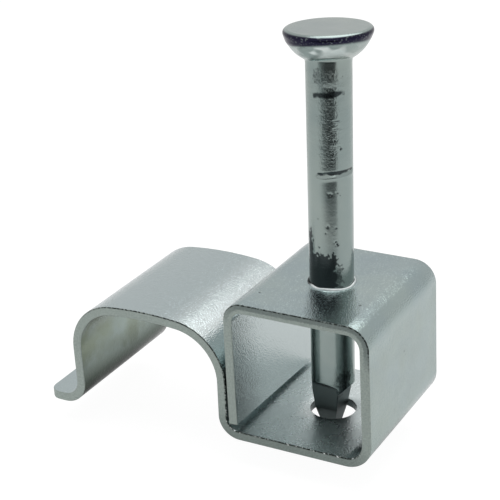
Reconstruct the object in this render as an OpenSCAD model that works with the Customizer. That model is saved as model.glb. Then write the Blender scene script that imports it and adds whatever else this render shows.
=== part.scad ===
// Nail-on cable clip: one strip of zinc-plated spring steel, folded into an arch that holds
// the cable and a square box that holds a masonry nail, ready to be driven.
// The wall is the plane z = 0 and the nail's axis is the Z axis. X runs along the strip, with the
// arch on the -X side, and Y runs across it. Sizes are in millimetres and angles in degrees.

/* [Strip] */
// Width of the strip
strip_w = 11.5; // [8:0.1:16]
// Thickness of the sheet
sheet_t = 0.65; // [0.4:0.05:0.9]

/* [Nail box] */
// Clear width inside the box, under the top plate
box_w = 9.2; // [7.6:0.1:14]
// Clear height inside the box
box_h = 9.0; // [6:0.1:13]
// Inner radius of the bend from the base plate to the outer wall
base_bend_r = 1.2; // [0.4:0.05:1.6]
// Inner radius of the bend from the outer wall to the top plate
top_bend_r = 0.95; // [0.4:0.05:1.6]
// Inner radius of the bend from the top plate to the free wall
free_bend_r = 0.75; // [0.4:0.05:1.6]
// Lean of the outer wall towards the nail
outer_lean = 1.2; // [0:0.1:3]
// Turn of the free wall towards the nail, over its whole length
free_bow = 1.5; // [1:0.5:6]
// Gap between the free wall's end and the base plate
free_end_gap = 0.5; // [0.2:0.1:1.5]
// Gap between the free wall and the arch's near leg, where the wall starts
leg_gap = 0.05; // [0.02:0.01:0.5]

/* [Cable arch] */
// Inner radius of the heel, from the base plate to the near leg
heel_r = 0.9; // [0.4:0.05:1.6]
// Clear width between the legs
arch_w = 11.05; // [10:0.1:20]
// Clear height from the wall to the crown
arch_h = 7.6; // [7:0.1:14]
// Inner radius of the shoulder next to the box
near_shoulder_r = 3.4; // [1.5:0.1:3.6]
// Inner radius of the far shoulder
far_shoulder_r = 3.1; // [1.5:0.1:3.6]
// Turn of the crown between the shoulders
crown_turn = 12; // [4:1:20]
// Lean of the far leg towards the cable
far_lean = 1.2; // [0:0.1:3]

/* [Foot] */
// Inner radius of the bend from the far leg to the foot
foot_bend_r = 1.2; // [0.4:0.05:1.5]
// Length of the foot past its bend
foot_l = 1.4; // [1:0.1:4]
// Radius of the foot's two corners, seen from above
foot_corner_r = 0.85; // [0.2:0.05:0.95]
// How far the unloaded foot reaches below the base plate
foot_drop = 0.3; // [0:0.05:0.8]

/* [Nail holes] */
// Clearance on the nail's diameter in the top plate, which grips it
grip_clearance = 0.02; // [0.01:0.01:0.1]
// Clearance on the nail's diameter in the base plate
guide_clearance = 0.18; // [0.1:0.01:0.6]
// Width of the raised rim round the hole in the top plate
rim_w = 0.24; // [0.1:0.02:0.4]

/* [Nail] */
// Diameter of the shank
nail_d = 3; // [2:0.1:3.6]
// Length from the middle of the head's top to the tip
nail_l = 30; // [24:1:45]
// How far the tip reaches below the base plate
tip_reach = 2.2; // [0.5:0.05:4]
// Diameter of the head
head_d = 5.75; // [5.4:0.05:7]
// Radius of the rounded underside of the head
bowl_r = 3.1; // [3:0.05:4]
// Depth of the underside below the head's top, on the axis
bowl_depth = 2.3; // [2:0.05:3]
// Radius of the head's upper edge
rim_edge_r = 0.28; // [0.1:0.02:0.3]
// Inward taper of the head's rim
rim_taper = 18; // [5:1:20]
// Tilt of the head's top face
head_tilt = 2.1; // [0:0.1:3]
// Side where the top face is lower, as the angle from +X
head_tilt_side = 135; // [0:5:355]
// Length of the pinched point
point_l = 5.5; // [4.8:0.05:8]
// Half of the point's width across its flats, below the shoulders
flat_half_w = 1.04; // [0.9:0.02:1.04]
// Half of the point's width where its steeper tip starts
tip_half_w = 0.84; // [0.5:0.02:0.88]
// Length of the steeper tip
tip_l = 3.1; // [1:0.05:4]
// Turn of the point about the nail's axis
point_turn = -4; // [-45:1:45]
// How much lower one of the two dies bit into the point than the other
die_step = 0.55; // [0:0.05:0.6]
// How far off the nail's axis the dies pinched the point
point_shift = 0.13; // [0:0.01:0.2]
// Depth of the grip marks across the shank
grip_depth = 0.07; // [0.02:0.01:0.12]

/* [Hidden] */
$fn = 96;

// Overshoot of a cut past the surface that it opens
past = 0.5;

// Radii of the strip's middle line in its bends
mid = sheet_t / 2;
base_bend = base_bend_r + mid;
top_bend = top_bend_r + mid;
free_bend = free_bend_r + mid;
heel = heel_r + mid;
near_shoulder = near_shoulder_r + mid;
far_shoulder = far_shoulder_r + mid;
foot_bend = foot_bend_r + mid;

// Box: the middle line's height in the top plate, and its places along the walls
top_z = sheet_t + box_h + mid;
base_turn = 90 + outer_lean;
outer_top_x = box_w / 2 + mid * cos(outer_lean);
outer_l = (top_z - mid - base_bend * (1 - cos(base_turn)) - top_bend * (1 + cos(base_turn)))
    / sin(base_turn);
base_end_x = outer_top_x - base_bend * sin(base_turn) - outer_l * cos(base_turn);
free_x = -box_w / 2 - mid;
top_l = outer_top_x - top_bend * sin(base_turn) - free_x - free_bend;
free_bow_r = (top_z - free_bend - sheet_t - free_end_gap) / sin(free_bow);

// Arch: the middle line's places, from the heel to the foot
near_x = free_x - sheet_t - leg_gap;
far_x = near_x - arch_w - sheet_t;
half_crown = crown_turn / 2;
crown_span = near_x - far_x - near_shoulder * (1 - sin(half_crown))
    - far_shoulder * (cos(far_lean) - sin(half_crown));
crown_r = crown_span / 2 / sin(half_crown);
shoulder_z = arch_h + mid - near_shoulder * cos(half_crown) - crown_r * (1 - cos(half_crown));
near_l = shoulder_z - mid - heel;
far_top_z = shoulder_z + near_shoulder * cos(half_crown)
    - far_shoulder * (sin(far_lean) + cos(half_crown));
far_l = (far_top_z + foot_drop - mid - foot_bend * (1 + sin(far_lean))) / cos(far_lean);
foot_end_x = far_x + far_shoulder * (1 - cos(far_lean)) + far_l * sin(far_lean)
    - foot_bend * cos(far_lean);
nose_x = foot_end_x - foot_l;

// The strip's two runs, both from under the nail. Each step is [straight, turn, radius of the
// middle line in the turn], and a positive turn goes to the left of the way that the run takes
box_run = [
    [base_end_x, base_turn, base_bend],
    [outer_l, 180 - base_turn, top_bend],
    [top_l, 90, free_bend],
    [0, free_bow, free_bow_r]
];
// This one is drawn mirrored, with its steps going in the +X direction
arch_run = [
    [-near_x - heel, 90, heel],
    [near_l, half_crown - 90, near_shoulder],
    [0, -crown_turn, crown_r],
    [0, half_crown - 90 - far_lean, far_shoulder],
    [far_l, 90 + far_lean, foot_bend]
];

// Nail: heights of its parts
nail_r = nail_d / 2;
tip_z = -tip_reach;
head_z = tip_z + nail_l;
point_z = tip_z + point_l;
rim_h = 0.95;
bowl_shift = [-0.09, -0.05];
tip_flat = 0.08;
pinched_to = -152;
grip_hole_r = (nail_d + grip_clearance) / 2;
guide_hole_r = (nail_d + guide_clearance) / 2;
// Grip marks that the heading dies leave on both sides, each as the depth below the head's top, the
// angle from +X where it starts, and its sweep
grip_marks = [[4.08, -104, 78], [5.77, -57, 20], [6.3, -58, 25], [7.5, -64, 30], [9.3, -99, 102]];

function ahead(h) = [cos(h), sin(h)];
function left(h) = [-sin(h), cos(h)];

// How much larger each round is drawn, so that it crosses the flats beside it and never just
// touches them
function seam(radius) = 0.001 + radius / 25000;

// Corners where a run's straights would meet, each as [place, heading before it, turn, radius]
function corners(steps, from, heading, i = 0) = i == len(steps) ? [] :
    let (
        turn = steps[i][1],
        tangent = steps[i][2] * tan(abs(turn) / 2),
        place = from + (steps[i][0] + tangent) * ahead(heading)
    )
    concat(
        [[place, heading, turn, steps[i][2]]],
        corners(steps, place + tangent * ahead(heading + turn), heading + turn, i + 1)
    );

function end_of(corner, length) =
    corner[0] + (corner[3] * tan(abs(corner[2]) / 2) + length) * ahead(corner[1] + corner[2]);

// Point beside a corner, at a distance to the left of the run
function mitre(corner, distance) =
    corner[0] + distance / cos(corner[2] / 2) * left(corner[1] + corner[2] / 2);

// Run of sheet with sharp corners, each then rounded on both faces
module run(steps, last_l) {
    turns = corners(steps, [0, mid], 0);
    last = turns[len(turns) - 1];
    end = end_of(last, last_l);
    end_left = mid * left(last[1] + last[2]);
    difference() {
        union() {
            polygon(concat(
                [[0, 0]],
                [for (corner = turns) mitre(corner, -mid)],
                [end - end_left, end + end_left],
                [for (i = [len(turns) - 1 : -1 : 0]) mitre(turns[i], mid)],
                [[0, sheet_t]]
            ));
            for (corner = turns) fill_in(corner);
        }
        for (corner = turns) round_off(corner);
    }
}

// Where a corner's round is centred, and points around it at a radius
function centre(corner) = mitre(corner, sign(corner[2]) * corner[3]);
function spoke(corner, turned, radius) =
    centre(corner) - sign(corner[2]) * radius * left(corner[1] + turned);
function beyond(corner, radius) =
    centre(corner) - sign(corner[2]) * radius / cos(corner[2] / 2) * left(corner[1] + corner[2] / 2);

// What a round adds inside a corner
module fill_in(corner) {
    radius = corner[3];
    difference() {
        polygon([
            centre(corner),
            spoke(corner, 0, radius),
            corner[0],
            spoke(corner, corner[2], radius)
        ]);
        translate(centre(corner)) circle(r = radius - mid + seam(radius));
    }
}

// What a round takes off the outside of a corner
module round_off(corner) {
    radius = corner[3];
    outside = radius + sheet_t;
    difference() {
        polygon([
            spoke(corner, 0, radius),
            spoke(corner, 0, outside),
            beyond(corner, outside),
            spoke(corner, corner[2], outside),
            spoke(corner, corner[2], radius)
        ]);
        translate(centre(corner)) circle(r = radius + mid + seam(radius));
    }
}

module clip() {
    color("#aeb6b8") {
        difference() {
            union() {
                rotate([90, 0, 0]) linear_extrude(height = strip_w, center = true) {
                    run(box_run, 0);
                    mirror([1, 0]) run(arch_run, foot_l);
                }
                top_rim();
            }
            translate([0, 0, top_z - mid - past])
                cylinder(r = grip_hole_r, h = sheet_t + 2 * past);
            translate([0, 0, -past]) cylinder(r = guide_hole_r, h = sheet_t + 2 * past);
            nose_roll();
            for (side = [0, 1]) mirror([0, side, 0]) nose_corner();
        }
    }
}

// What the shear takes off under the foot's nose
module nose_roll() {
    roll = sheet_t - 0.15;
    nose_l = roll - 0.04;
    translate([nose_x, 0, -foot_drop])
        rotate([90, 0, 0])
            linear_extrude(height = strip_w + 2 * past, center = true)
                difference() {
                    translate([-past, -past]) square([nose_l + past, roll + past]);
                    translate([nose_l, roll]) circle(r = roll + seam(roll));
                }
}

// What rounds one of the foot's corners, seen from above
module nose_corner() {
    translate([nose_x, strip_w / 2, -foot_drop - past])
        difference() {
            translate([-past, -foot_corner_r, 0])
                cube([foot_corner_r + past, foot_corner_r + past, sheet_t + 2 * past]);
            translate([foot_corner_r, -foot_corner_r, -past])
                cylinder(r = foot_corner_r + seam(foot_corner_r), h = sheet_t + 4 * past);
        }
}

// Rim that the nail raises round its hole in the top plate
module top_rim() {
    rim_r = rim_w * 0.6;
    translate([0, 0, top_z + mid])
        rotate_extrude() translate([grip_hole_r + rim_w - rim_r, 0]) circle(r = rim_r);
}

module nail() {
    color("#b9c0c3") {
        difference() {
            union() {
                translate([0, 0, tip_z]) cylinder(r = nail_r, h = nail_l - rim_h);
                head();
            }
            translate(point_shift * [cos(pinched_to), sin(pinched_to), 0])
                for (side = [0 : 3]) rotate([0, 0, point_turn + 90 * side])
                        point_cut(side < 2 ? die_step : 0);
            for (mark = grip_marks, die = [0, 180]) grip_mark(mark[0], mark[1] + die, mark[2]);
        }
    }
}

// Head: a tapered rim with a flat top, cut from below by the round bowl
module head() {
    translate([0, 0, head_z])
        intersection() {
            rotate([0, 0, head_tilt_side]) rotate([0, head_tilt, 0]) head_rim();
            translate([bowl_shift.x, bowl_shift.y, bowl_r - bowl_depth]) sphere(r = bowl_r, $fn = 128);
        }
}

module head_rim() {
    edge_x = head_d / 2 - rim_edge_r;
    side_x = edge_x + rim_edge_r * cos(rim_taper);
    side_z = -rim_edge_r * (1 + sin(rim_taper));
    foot_x = side_x - (rim_h + side_z) * tan(rim_taper);
    rotate_extrude() {
        polygon([
            [0, 0],
            [edge_x, 0],
            [edge_x, -rim_edge_r],
            [side_x, side_z],
            [foot_x, -rim_h],
            [foot_x - bowl_depth, -rim_h - bowl_depth],
            [0, -rim_h - bowl_depth]
        ]);
        translate([edge_x, -rim_edge_r]) circle(r = rim_edge_r + seam(rim_edge_r));
    }
}

// What a die pinches off one side of the point: a shoulder, a long flat and a steeper tip
module point_cut(lower) {
    shoulder = nail_r - flat_half_w;
    rotate([90, 0, 0])
        linear_extrude(height = nail_d + 2 * past, center = true)
            polygon([
                [nail_r + past, point_z + past - lower],
                [flat_half_w, point_z - shoulder - lower],
                [tip_half_w, tip_z + tip_l],
                [tip_flat, tip_z],
                [tip_flat, tip_z - past],
                [nail_r + past, tip_z - past]
            ]);
}

module grip_mark(depth_below_top, first, sweep) {
    translate([0, 0, head_z - depth_below_top])
        rotate([0, 0, first])
            rotate_extrude(angle = sweep) translate([nail_r, 0]) circle(r = grip_depth, $fn = 24);
}

clip();
nail();
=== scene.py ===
"""A nail-on metal cable clip, photographed alone on white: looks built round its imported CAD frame.

Shapes are worked in millimetres and scaled to metres as each piece is finished. The row frame has
the wall at z = 0, Z along the nail towards its head, X along the strip and Y across it.
"""

from math import atan2, ceil, cos, degrees, exp, hypot, pi, radians, sin, sqrt, tan

import bmesh
import bpy
from mathutils import Matrix, Vector, noise


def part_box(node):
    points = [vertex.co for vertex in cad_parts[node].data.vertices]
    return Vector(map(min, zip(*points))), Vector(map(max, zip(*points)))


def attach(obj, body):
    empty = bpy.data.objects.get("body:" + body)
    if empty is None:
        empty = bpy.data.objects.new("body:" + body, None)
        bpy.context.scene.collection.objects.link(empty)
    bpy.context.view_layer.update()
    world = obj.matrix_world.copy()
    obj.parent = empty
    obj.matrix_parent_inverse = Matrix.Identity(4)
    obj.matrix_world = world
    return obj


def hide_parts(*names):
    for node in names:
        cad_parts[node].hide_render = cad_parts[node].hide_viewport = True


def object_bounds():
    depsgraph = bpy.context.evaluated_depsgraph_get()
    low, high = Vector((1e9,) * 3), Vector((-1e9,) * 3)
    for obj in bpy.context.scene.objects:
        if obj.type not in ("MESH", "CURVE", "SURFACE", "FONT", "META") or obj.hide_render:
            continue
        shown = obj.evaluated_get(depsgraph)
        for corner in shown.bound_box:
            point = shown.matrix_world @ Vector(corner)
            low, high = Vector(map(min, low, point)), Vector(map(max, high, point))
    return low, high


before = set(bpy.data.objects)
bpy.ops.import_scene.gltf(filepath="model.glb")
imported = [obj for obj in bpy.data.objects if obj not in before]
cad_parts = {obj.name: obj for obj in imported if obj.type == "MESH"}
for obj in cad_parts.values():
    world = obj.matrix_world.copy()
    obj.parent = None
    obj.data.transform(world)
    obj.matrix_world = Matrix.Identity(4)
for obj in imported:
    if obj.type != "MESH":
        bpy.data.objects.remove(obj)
cad_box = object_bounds()

MM = 0.001

# Strip, as in the CAD source: sheet, box, arch and foot. Radii are those of the sheet's middle line
STRIP_W = 11.5
SHEET_T = 0.65
MID = SHEET_T / 2
BOX_W = 9.2
BOX_H = 9.0
BASE_BEND = 1.2 + MID
TOP_BEND = 0.95 + MID
FREE_BEND = 0.75 + MID
OUTER_LEAN = radians(1.2)
FREE_BOW = radians(1.5)
FREE_END_GAP = 0.5
LEG_GAP = 0.05
HEEL = 0.9 + MID
ARCH_W = 11.05
ARCH_H = 7.6
NEAR_SHOULDER = 3.4 + MID
FAR_SHOULDER = 3.1 + MID
CROWN_TURN = radians(12)
FAR_LEAN = radians(1.2)
FOOT_BEND = 1.2 + MID
FOOT_L = 1.4
FOOT_DROP = 0.3
NOSE_CORNER_R = 0.85
NOSE_ROLL = 0.5
# Rounding that the shear leaves on the side that it enters, and the burr's on the other
ROLL_OVER = 0.06
BURR = 0.03
# The free wall's back corner was cropped lower than its front one, and sprang towards the nail
CROP_SKEW = 0.25
FREE_TWIST = 0.2
# Half the side of the square that is cut out of the sheet and filled again round each nail hole
HOLE_PATCH = 2.3
# Walls of the nail holes, as rings of radius and level from the roll-over side to the burr side:
# the nail pulled up a rim on the top plate, and the base plate's hole has rounded edges
TOP_HOLE = [(2.05, -0.325), (1.72, -0.327), (1.69, -0.335), (1.668, -0.355), (1.65, -0.385)]
TOP_HOLE += [(1.633, -0.425), (1.612, -0.465), (1.585, -0.49), (1.555, -0.497), (1.53, -0.483)]
TOP_HOLE += [(1.514, -0.44), (1.51, -0.3), (1.51, 0.2), (1.53, 0.3), (1.57, 0.325)]
BASE_HOLE = [(1.76, -0.325), (1.68, -0.31), (1.62, -0.27), (1.6, -0.2), (1.59, 0.0), (1.59, 0.26)]
BASE_HOLE += [(1.61, 0.31), (1.64, 0.325)]
# Rows of the sheet's mesh: largest turn and largest length of a step round a bend, and the cuts
# along the strip and through it
BEND_STEP = radians(5.5)
BOW_STEP = 1.3
ROWS_ALONG = (-4.0, -HOLE_PATCH, HOLE_PATCH, 4.0)
ROWS_THROUGH = (-0.02, 0.18)

# Nail, as in the CAD source, but for the bowl under its head, which sits less far to one side
NAIL_R = 1.5
TIP_Z = -2.2
HEAD_Z = 27.8
HEAD_R = 2.875
HEAD_TILT = radians(2.1)
HEAD_TILT_SIDE = radians(135)
RIM_EDGE_R = 0.28
RIM_TAPER = radians(18)
BOWL_R = 3.06
BOWL_RISE = 0.66
BOWL_SHIFT = (-0.02, -0.01)
POINT_TURN = radians(-4)
POINT_SHIFT = (0.13 * cos(radians(-152)), 0.13 * sin(radians(-152)))
# Half of the point's width at its shoulder, where its steeper taper starts, and at its tip
SHOULDER_Z, SHOULDER_HALF = 2.84, 1.04
TAPER_Z, TAPER_HALF = 0.9, 0.84
TIP_HALF = 0.08
# Height above which the point's dies left no mark, and how much lower one bit than the other
POINT_START = 3.4
DIE_STEP = 0.55
# The middle of the heading dies' grip, in degrees from +X, and the depth of their flat land
DIE_SIDE = -61
GRIP_DEPTH = 0.05
# How far the head and its blend into the shank reach below the top, and the blend's softness
NECK_DEPTH = 2.2
NECK_BLEND = 0.12


def linear(hex_colour, alpha=1.0):
    """An sRGB hex colour as the linear values that Blender's sockets take."""
    values = [int(hex_colour[i : i + 2], 16) / 255 for i in (1, 3, 5)]
    return (*[v / 12.92 if v <= 0.04045 else ((v + 0.055) / 1.055) ** 2.4 for v in values], alpha)


def smooth_step(low, high, value):
    """0 up to low, 1 from high on, and an even curve between them."""
    t = min(max((value - low) / (high - low), 0.0), 1.0)
    return t * t * (3 - 2 * t)


def finish_piece(bm, name, materials):
    """Turns a mesh worked in millimetres into a named object of the scene."""
    bmesh.ops.scale(bm, vec=(MM, MM, MM), verts=bm.verts)
    mesh = bpy.data.meshes.new(name)
    bm.to_mesh(mesh)
    bm.free()
    for material in materials:
        mesh.materials.append(material)
    piece = bpy.data.objects.new(name, mesh)
    bpy.context.scene.collection.objects.link(piece)
    return piece


# Clip


def strip_folds():
    """Each fold from the foot to the free end: the straight before it, its turn and its radius.

    A turn towards the burr side is positive, and the radius is that of the sheet's middle line.
    """
    top_z = SHEET_T + BOX_H + MID
    outer_turn = pi / 2 + OUTER_LEAN
    outer_x = BOX_W / 2 + MID * cos(OUTER_LEAN)
    outer_rise = top_z - MID - BASE_BEND * (1 - cos(outer_turn)) - TOP_BEND * (1 + cos(outer_turn))
    outer_l = outer_rise / sin(outer_turn)
    base_end = outer_x - BASE_BEND * sin(outer_turn) - outer_l * cos(outer_turn)
    free_x = -BOX_W / 2 - MID
    top_l = outer_x - TOP_BEND * sin(outer_turn) - free_x - FREE_BEND
    bow_r = (top_z - FREE_BEND - SHEET_T - FREE_END_GAP) / sin(FREE_BOW)
    near_x = free_x - SHEET_T - LEG_GAP
    far_x = near_x - ARCH_W - SHEET_T
    half = CROWN_TURN / 2
    span = near_x - far_x - NEAR_SHOULDER * (1 - sin(half))
    span -= FAR_SHOULDER * (cos(FAR_LEAN) - sin(half))
    crown_r = span / 2 / sin(half)
    shoulder_z = ARCH_H + MID - NEAR_SHOULDER * cos(half) - crown_r * (1 - cos(half))
    near_l = shoulder_z - MID - HEEL
    far_top = shoulder_z + NEAR_SHOULDER * cos(half) - FAR_SHOULDER * (sin(FAR_LEAN) + cos(half))
    far_l = (far_top + FOOT_DROP - MID - FOOT_BEND * (1 + sin(FAR_LEAN))) / cos(FAR_LEAN)
    return [
        (FOOT_L, pi / 2 + FAR_LEAN, FOOT_BEND),
        (far_l, half - pi / 2 - FAR_LEAN, FAR_SHOULDER),
        (0, -CROWN_TURN, crown_r),
        (0, half - pi / 2, NEAR_SHOULDER),
        (near_l, pi / 2, HEEL),
        (base_end - near_x - HEEL, outer_turn, BASE_BEND),
        (outer_l, pi - outer_turn, TOP_BEND),
        (top_l, pi / 2, FREE_BEND),
        (0, FREE_BOW, bow_r),
    ]


def fold_path():
    """The folded strip's middle line: flat start, length, place, heading, curvature of each part."""
    stretches = []
    nose_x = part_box("clip")[0].x / MM
    flat, place, heading = 0.0, Vector((nose_x, MID - FOOT_DROP)), 0.0
    for straight, turn, radius in strip_folds():
        for length, curvature in ((straight, 0.0), (abs(turn) * radius, 1 / radius)):
            if length == 0:
                continue
            curvature = curvature if turn > 0 else -curvature
            stretches.append((flat, length, place, heading, curvature))
            place, heading = along(stretches[-1], length)
            flat += length
    return stretches


def under_nail(stretches):
    """Places along the flat strip that the nail's axis meets: in the base plate and the top plate."""
    places = []
    for stretch in stretches:
        flat, length, place, _, curvature = stretch
        if curvature == 0 and place.x * along(stretch, length)[0].x < 0:
            places.append(flat + abs(place.x))
    return places


def along(stretch, distance):
    """Place and heading at a distance into a stretch of the middle line."""
    _, _, place, heading, curvature = stretch
    turned = heading + curvature * distance
    if curvature == 0:
        return place + distance * Vector((cos(heading), sin(heading))), heading
    centre = place + Vector((-sin(heading), cos(heading))) / curvature
    return centre - Vector((-sin(turned), cos(turned))) / curvature, turned


def blank_strip(length):
    """The strip as it is sheared from the coil: flat, rolled over on one side and burred on the other.

    X is the place along the strip, Y across it, and Z through it, with the burrs on the +Z side.
    """
    bm = bmesh.new()
    bmesh.ops.create_cube(bm, size=1.0)
    bmesh.ops.scale(bm, vec=(length, STRIP_W, SHEET_T), verts=bm.verts)
    bmesh.ops.translate(bm, vec=(length / 2, 0, 0), verts=bm.verts)
    nose = [e for e in bm.edges if all(v.co.x < 0.01 for v in e.verts) and abs(edge_way(e).z) > 0.9]
    round_edges(bm, nose, NOSE_CORNER_R, 8)
    round_edges(bm, outline(bm, -MID), ROLL_OVER, 3)
    round_edges(bm, outline(bm, MID), BURR, 2)
    return bm


def edge_way(edge):
    """The direction of an edge."""
    return (edge.verts[1].co - edge.verts[0].co).normalized()


def outline(bm, level):
    """The edges that lie at one level of the sheet."""
    return [e for e in bm.edges if all(abs(v.co.z - level) < 1e-4 for v in e.verts)]


def round_edges(bm, edges, radius, segments):
    """Rounds edges of the blank to a radius."""
    bmesh.ops.bevel(
        bm,
        geom=edges,
        offset=radius,
        offset_type="OFFSET",
        affect="EDGES",
        segments=segments,
        profile=0.5,
        material=-1,
        clamp_overlap=True,
    )


def cut_across(bm, place, normal):
    """Cuts the whole blank with a plane, so that it gets a row of points there."""
    bmesh.ops.bisect_plane(
        bm,
        geom=bm.verts[:] + bm.edges[:] + bm.faces[:],
        dist=1e-5,
        plane_co=place,
        plane_no=normal,
    )


def pierce(bm, hole_x, rings):
    """Opens a round hole, whose wall goes through rings of radius and level, from -Z to +Z."""
    corner = HOLE_PATCH + 1e-3

    def in_patch(v):
        return abs(v.co.x - hole_x) < corner and abs(v.co.y) < corner

    def patch_border(side):
        borders = [e for e in bm.edges if e.is_boundary]
        return [e for e in borders if all(in_patch(v) and v.co.z * side > 0 for v in e.verts)]

    patch = [f for f in bm.faces if all(in_patch(v) for v in f.verts) and abs(f.normal.z) > 0.9]
    bmesh.ops.delete(bm, geom=patch, context="FACES_ONLY")
    for side in (-1, 1):
        bmesh.ops.subdivide_edges(bm, edges=patch_border(side), cuts=15)
    lower_border, upper_border = patch_border(-1), patch_border(1)
    first_r, first_level = rings[0]
    circle = bmesh.ops.create_circle(
        bm,
        cap_ends=False,
        segments=64,
        radius=first_r,
        matrix=Matrix.Translation((hole_x, 0, first_level)) @ Matrix.Rotation(pi / 4, 4, "Z"),
    )
    ring = list({e for v in circle["verts"] for e in v.link_edges})
    bmesh.ops.bridge_loops(bm, edges=lower_border + ring)
    for (before_r, before), (after_r, after) in zip(rings, rings[1:]):
        grown = bmesh.ops.extrude_edge_only(bm, edges=ring)["geom"]
        verts = [g for g in grown if isinstance(g, bmesh.types.BMVert)]
        ring = [g for g in grown if isinstance(g, bmesh.types.BMEdge)]
        bmesh.ops.translate(bm, vec=(-hole_x, 0, after - before), verts=verts)
        bmesh.ops.scale(bm, vec=(after_r / before_r, after_r / before_r, 1), verts=verts)
        bmesh.ops.translate(bm, vec=(hole_x, 0, 0), verts=verts)
        ring = [e for e in ring if all(v in verts for v in e.verts)]
    bmesh.ops.bridge_loops(bm, edges=upper_border + ring)


def cut_rows(bm, stretches, holes):
    """Cuts the flat blank into the rows that its bends, its nose and its holes need."""
    stations = set()
    for flat, length, _, _, curvature in stretches:
        steps = ceil(max(length * abs(curvature) / BEND_STEP, length / BOW_STEP)) if curvature else 1
        stations.update(round(flat + length * i / steps, 5) for i in range(steps + 1))
    for hole in holes:
        stations.update((hole - HOLE_PATCH, hole + HOLE_PATCH))
    stations.update(NOSE_ROLL * (1 - cos(radians(a))) for a in range(12, 90, 12))
    for x in sorted(stations)[1:-1]:
        cut_across(bm, (x, 0, 0), (1, 0, 0))
    for y in ROWS_ALONG:
        cut_across(bm, (0, y, 0), (0, 1, 0))
    for z in ROWS_THROUGH:
        cut_across(bm, (0, 0, z), (0, 0, 1))


def make_clip(materials):
    """The strip, pierced while it is flat and then folded.

    Its flat_place attribute keeps each point's place on the flat strip, in metres.
    """
    stretches = fold_path()
    base_hole, top_hole = under_nail(stretches)
    free_start, free_length = stretches[-1][:2]
    bm = blank_strip(free_start + free_length)
    cut_rows(bm, stretches, (base_hole, top_hole))
    pierce(bm, top_hole, TOP_HOLE)
    pierce(bm, base_hole, BASE_HOLE)

    bm.normal_update()
    flat_place = bm.verts.layers.float_vector.new("flat_place")
    # Attributes for darkened places, painted shade among them, and for the rim's painted highlight
    dirt_and_shade = bm.verts.layers.float.new("dirt_and_shade")
    rim_highlight = bm.verts.layers.float.new("rim_highlight")
    for face in bm.faces:
        face.smooth = True
        # The shear's cut has the second material, and the walls of the holes the first
        outer = abs(face.calc_center_median().y) > STRIP_W / 2 - NOSE_CORNER_R
        steep = abs(face.normal.z) < 0.97 and abs(face.normal.y) > 0.2
        face.material_index = 1 if outer and steep else 0
    for v in bm.verts:
        v[flat_place] = v.co * MM
        from_base, from_top = (hypot(v.co.x - hole, v.co.y) for hole in (base_hole, top_hole))
        # Painted shade darkens the wall of each hole, beside the nail
        v[dirt_and_shade] = 0.85 * smooth_step(1.66, 1.6, from_base)
        v[dirt_and_shade] = max(v[dirt_and_shade], smooth_step(1.535, 1.515, from_top))
        if from_top < 1.8 and v.co.z < -MID:
            shape_and_light_rim(v, top_hole, dirt_and_shade, rim_highlight)
        roll_nose(v)
        # From 0 to 1 towards the free wall's back corner
        back = max(v.co.x - free_start, 0) / free_length * (v.co.y / STRIP_W + 0.5)
        v.co.x += CROP_SKEW * back
        v.co = folded(stretches, v.co)
        v.co.x += FREE_TWIST * back
    bmesh.ops.recalc_face_normals(bm, faces=bm.faces)
    sharpen(bm, 32)
    piece = finish_piece(bm, "clip_strip", materials)
    weigh_normals(piece)
    return piece


def shape_and_light_rim(v, hole_x, dirt_and_shade, rim_highlight):
    """Makes the rim round the nail uneven and darker at its left, and paints a highlight on it
    elsewhere.
    """
    angle = atan2(v.co.y, v.co.x - hole_x)
    round_rim = Vector((cos(angle), sin(angle), 0))
    raised = smooth_step(-MID - 0.06, -MID - 0.12, v.co.z)
    left = smooth_step(0.8, 0.97, cos(angle + radians(29)))
    v[rim_highlight] = (1 - left) * raised * smooth_step(1.51, 1.54, hypot(v.co.x - hole_x, v.co.y))
    v[rim_highlight] *= 0.8 + 0.5 * noise.noise(5 * round_rim + Vector((0, 0, 6 * v.co.z)))
    v[dirt_and_shade] = max(v[dirt_and_shade], left * raised)
    uneven = noise.noise(2.4 * round_rim + Vector((0, 0, 0.4)))
    v.co.z = -MID + (v.co.z + MID) * (1 + 0.6 * uneven)


def roll_nose(v):
    """Squeezes the foot's nose up, so that its underside is round and slides on the wall."""
    if v.co.x < NOSE_ROLL:
        lift = NOSE_ROLL - sqrt(NOSE_ROLL**2 - (NOSE_ROLL - v.co.x) ** 2)
        v.co.z = MID - (MID - v.co.z) * (SHEET_T - lift) / SHEET_T


def folded(stretches, flat):
    """Where a point of the flat strip goes when the strip is folded."""
    stretch = next((s for s in stretches if flat.x <= s[0] + s[1]), stretches[-1])
    place, heading = along(stretch, flat.x - stretch[0])
    place = place + flat.z * Vector((-sin(heading), cos(heading)))
    return Vector((place.x, flat.y, place.y))


def sharpen(bm, angle):
    """Keeps edges sharp to the eye that turn by more than an angle in degrees."""
    for edge in bm.edges:
        if len(edge.link_faces) == 2:
            edge.smooth = edge.calc_face_angle(0) < radians(angle)


def weigh_normals(piece):
    """Keeps flats flat to the eye beside their rounded edges."""
    weighted = piece.modifiers.new("flat_faces", "WEIGHTED_NORMAL")
    weighted.weight = 80
    weighted.keep_sharp = True


# Nail

# Corners of half the nail's outline, from the top: radius, height, and how many rows of points
# follow, closer together where there are marks
NAIL_ROWS = [(0, HEAD_Z, 9), (HEAD_R, HEAD_Z, 60), (NAIL_R, 25.6, 16), (NAIL_R, 24.3, 28)]
NAIL_ROWS += [(NAIL_R, 23.2, 70), (NAIL_R, 18.9, 28), (NAIL_R, 18.1, 80), (NAIL_R, 13.2, 50)]
NAIL_ROWS += [(NAIL_R, 10.2, 60), (NAIL_R, 4.2, 110), (NAIL_R, TIP_Z, 4), (0, TIP_Z, 0)]
NAIL_SIDES = 160
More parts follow.
